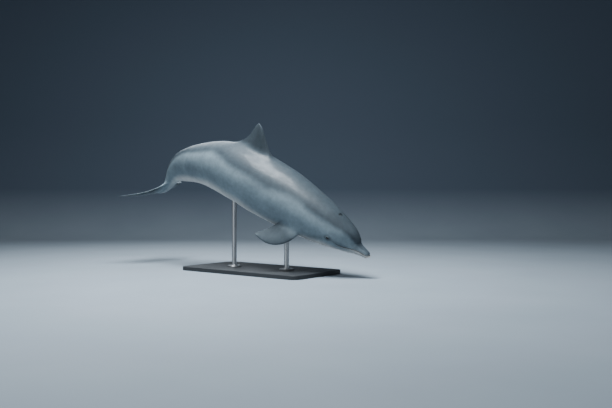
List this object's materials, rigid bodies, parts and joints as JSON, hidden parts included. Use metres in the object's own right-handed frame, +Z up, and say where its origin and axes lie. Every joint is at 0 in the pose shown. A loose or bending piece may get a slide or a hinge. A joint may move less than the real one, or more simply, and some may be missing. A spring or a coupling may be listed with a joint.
{
  "type": "bottlenose dolphin",
  "caption": "Life-size adult bottlenose dolphin in a shallow banked dive with its tail bent down, held by a plain flat display stand with round rods.",
  "frame": {"origin": "centre of the object's bounding box in plan, on the floor under the stand's base", "axes": "+X is the way the dolphin heads, +Y its left side, +Z up"},
  "size_m": [2.2901, 0.702, 1.1493],
  "materials": {
    "skin": "smooth satin hide, slate grey cape fading over paler flanks to an off-white belly",
    "eye": "wet gloss, near black",
    "rod_steel": "brushed",
    "base_coat": "satin powder coat, charcoal"
  },
  "bodies": {
    "root": {"head": "skin", "lower_jaw": "skin", "chest": "skin", "trunk": "skin", "dorsal_fin": "skin", "tail_stock_front": "skin", "tail_stock_rear": "skin", "flipper_left": "skin", "flipper_right": "skin", "fluke_left": "skin", "fluke_right": "skin", "eye_left": "eye", "eye_right": "eye", "stand_rod_front": "rod_steel", "stand_rod_rear": "rod_steel", "stand_base": "base_coat"}
  },
  "joints": []
}
